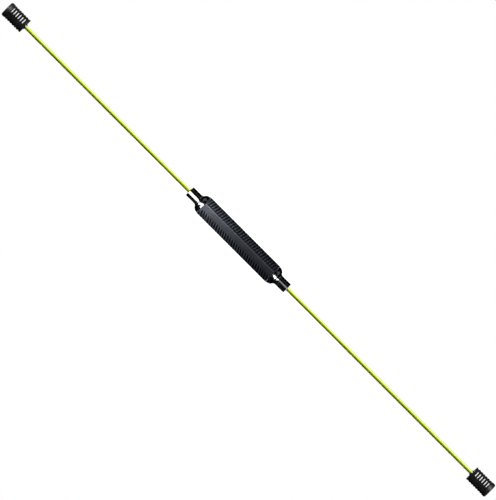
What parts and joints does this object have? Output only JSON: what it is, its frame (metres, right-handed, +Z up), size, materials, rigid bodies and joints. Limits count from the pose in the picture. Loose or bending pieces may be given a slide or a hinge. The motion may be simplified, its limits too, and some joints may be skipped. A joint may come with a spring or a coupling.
{
  "type": "swing trainer stick",
  "caption": "Flexible training bar: a thick ribbed rubber grip off its middle, springy screw-in fibreglass arms and a ribbed weight on each end.",
  "frame": {"origin": "middle of the bar's length and width, on the plane of the flat land under the grip", "axes": "+X along the bar, from the left arm to the right arm, +Z up out of the grip's land, +Y sideways"},
  "size_m": [1.53, 0.0474, 0.0461],
  "materials": {
    "grip_rubber": "matte",
    "collar_plastic": "gloss",
    "tube_aluminium": "satin",
    "insert_brass": "satin",
    "seal_rubber": "matte",
    "ferrule_steel": "satin",
    "rod_fibreglass": "gloss",
    "core_steel": "satin",
    "weight_rubber": "gloss",
    "cap_plastic": "satin"
  },
  "bodies": {
    "handle": {"grip_sleeve": "grip_rubber", "handle_tube": "tube_aluminium", "left_collar": "collar_plastic", "left_threaded_insert": "insert_brass", "right_collar": "collar_plastic", "right_threaded_insert": "insert_brass"},
    "left_seal": {"left_rod_seal": "seal_rubber"},
    "left_rod_base": {"left_ferrule": "ferrule_steel", "left_rod_root": "rod_fibreglass"},
    "left_bend_1": {"left_rod_segment_1": "rod_fibreglass"},
    "left_bend_2": {"left_rod_segment_2": "rod_fibreglass"},
    "left_bend_3": {"left_rod_segment_3": "rod_fibreglass"},
    "left_bend_4": {"left_rod_segment_4": "rod_fibreglass"},
    "left_bend_5": {"left_rod_segment_5": "rod_fibreglass"},
    "left_bend_6": {"left_rod_segment_6": "rod_fibreglass"},
    "left_bend_7": {"left_rod_segment_7": "rod_fibreglass"},
    "left_bend_8": {"left_rod_tip": "rod_fibreglass", "left_weight_core": "core_steel", "left_weight_sleeve": "weight_rubber", "left_end_cap": "cap_plastic"},
    "right_seal": {"right_rod_seal": "seal_rubber"},
    "right_rod_base": {"right_ferrule": "ferrule_steel", "right_rod_root": "rod_fibreglass"},
    "right_bend_1": {"right_rod_segment_1": "rod_fibreglass"},
    "right_bend_2": {"right_rod_segment_2": "rod_fibreglass"},
    "right_bend_3": {"right_rod_segment_3": "rod_fibreglass"},
    "right_bend_4": {"right_rod_segment_4": "rod_fibreglass"},
    "right_bend_5": {"right_rod_segment_5": "rod_fibreglass"},
    "right_bend_6": {"right_rod_segment_6": "rod_fibreglass"},
    "right_bend_7": {"right_rod_segment_7": "rod_fibreglass"},
    "right_bend_8": {"right_rod_tip": "rod_fibreglass", "right_weight_core": "core_steel", "right_weight_sleeve": "weight_rubber", "right_end_cap": "cap_plastic"}
  },
  "joints": [
    {"name": "left_arm_travel", "type": "slide", "parent": "handle", "child": "left_seal", "axis": [-1, 0, 0], "range_m": [0, 0.01576]},
    {"name": "left_arm_unscrew", "type": "hinge", "parent": "left_seal", "child": "left_rod_base", "pos_m": [-0.186, 0, 0.02306], "axis": [-1, 0, 0], "range_deg": [0, 3240]},
    {"name": "left_bend_up", "type": "hinge", "parent": "left_rod_base", "child": "left_bend_1", "pos_m": [-0.21856, 0, 0.02306], "axis": [0, 1, 0], "range_deg": [-6.1, 6.1], "stiffness_Nm_per_rad": 221.6},
    {"name": "left_bend_side", "type": "hinge", "parent": "left_bend_1", "child": "left_bend_2", "pos_m": [-0.28369, 0, 0.02306], "axis": [0, 0, -1], "range_deg": [-9.5, 9.5], "stiffness_Nm_per_rad": 92},
    {"name": "left_bend_up_2", "type": "hinge", "parent": "left_bend_2", "child": "left_bend_3", "pos_m": [-0.34881, 0, 0.02306], "axis": [0, 1, 0], "range_deg": [-6.22, 6.22]},
    {"name": "left_bend_side_2", "type": "hinge", "parent": "left_bend_3", "child": "left_bend_4", "pos_m": [-0.41394, 0, 0.02306], "axis": [0, 0, -1], "range_deg": [-5.12, 5.12]},
    {"name": "left_bend_up_3", "type": "hinge", "parent": "left_bend_4", "child": "left_bend_5", "pos_m": [-0.47906, 0, 0.02306], "axis": [0, 1, 0], "range_deg": [-3.98, 3.98]},
    {"name": "left_bend_side_3", "type": "hinge", "parent": "left_bend_5", "child": "left_bend_6", "pos_m": [-0.54419, 0, 0.02306], "axis": [0, 0, -1], "range_deg": [-2.86, 2.86]},
    {"name": "left_bend_up_4", "type": "hinge", "parent": "left_bend_6", "child": "left_bend_7", "pos_m": [-0.60931, 0, 0.02306], "axis": [0, 1, 0], "range_deg": [-1.8, 1.8]},
    {"name": "left_bend_side_4", "type": "hinge", "parent": "left_bend_7", "child": "left_bend_8", "pos_m": [-0.67444, 0, 0.02306], "axis": [0, 0, -1], "range_deg": [-0.68, 0.68]},
    {"name": "right_arm_travel", "type": "slide", "parent": "handle", "child": "right_seal", "axis": [1, 0, 0], "range_m": [0, 0.01576]},
    {"name": "right_arm_unscrew", "type": "hinge", "parent": "right_seal", "child": "right_rod_base", "pos_m": [0.1225, 0, 0.02306], "axis": [1, 0, 0], "range_deg": [0, 3240]},
    {"name": "right_bend_up", "type": "hinge", "parent": "right_rod_base", "child": "right_bend_1", "pos_m": [0.15903, 0, 0.02306], "axis": [0, -1, 0], "range_deg": [-6.1, 6.1], "stiffness_Nm_per_rad": 197.5},
    {"name": "right_bend_side", "type": "hinge", "parent": "right_bend_1", "child": "right_bend_2", "pos_m": [0.23209, 0, 0.02306], "axis": [0, 0, 1], "range_deg": [-9.5, 9.5], "stiffness_Nm_per_rad": 82},
    {"name": "right_bend_up_2", "type": "hinge", "parent": "right_bend_2", "child": "right_bend_3", "pos_m": [0.30516, 0, 0.02306], "axis": [0, -1, 0], "range_deg": [-6.22, 6.22]},
    {"name": "right_bend_side_2", "type": "hinge", "parent": "right_bend_3", "child": "right_bend_4", "pos_m": [0.37822, 0, 0.02306], "axis": [0, 0, 1], "range_deg": [-5.12, 5.12]},
    {"name": "right_bend_up_3", "type": "hinge", "parent": "right_bend_4", "child": "right_bend_5", "pos_m": [0.45128, 0, 0.02306], "axis": [0, -1, 0], "range_deg": [-3.98, 3.98]},
    {"name": "right_bend_side_3", "type": "hinge", "parent": "right_bend_5", "child": "right_bend_6", "pos_m": [0.52434, 0, 0.02306], "axis": [0, 0, 1], "range_deg": [-2.86, 2.86]},
    {"name": "right_bend_up_4", "type": "hinge", "parent": "right_bend_6", "child": "right_bend_7", "pos_m": [0.59741, 0, 0.02306], "axis": [0, -1, 0], "range_deg": [-1.8, 1.8]},
    {"name": "right_bend_side_4", "type": "hinge", "parent": "right_bend_7", "child": "right_bend_8", "pos_m": [0.67047, 0, 0.02306], "axis": [0, 0, 1], "range_deg": [-0.68, 0.68]}
  ],
  "couplings": [
    {"joint": "left_arm_travel", "follows": "left_arm_unscrew", "m_per_rad": 0.00027852},
    {"joint": "left_bend_up_2", "follows": "left_bend_up", "ratio": 1.0115},
    {"joint": "left_bend_side_2", "follows": "left_bend_side", "ratio": 0.53333},
    {"joint": "left_bend_up_3", "follows": "left_bend_up", "ratio": 0.64368},
    {"joint": "left_bend_side_3", "follows": "left_bend_side", "ratio": 0.2963},
    {"joint": "left_bend_up_4", "follows": "left_bend_up", "ratio": 0.28736},
    {"joint": "left_bend_side_4", "follows": "left_bend_side", "ratio": 0.06667},
    {"joint": "right_arm_travel", "follows": "right_arm_unscrew", "m_per_rad": 0.00027852},
    {"joint": "right_bend_up_2", "follows": "right_bend_up", "ratio": 1.0115},
    {"joint": "right_bend_side_2", "follows": "right_bend_side", "ratio": 0.53333},
    {"joint": "right_bend_up_3", "follows": "right_bend_up", "ratio": 0.64368},
    {"joint": "right_bend_side_3", "follows": "right_bend_side", "ratio": 0.2963},
    {"joint": "right_bend_up_4", "follows": "right_bend_up", "ratio": 0.28736},
    {"joint": "right_bend_side_4", "follows": "right_bend_side", "ratio": 0.06667}
  ]
}
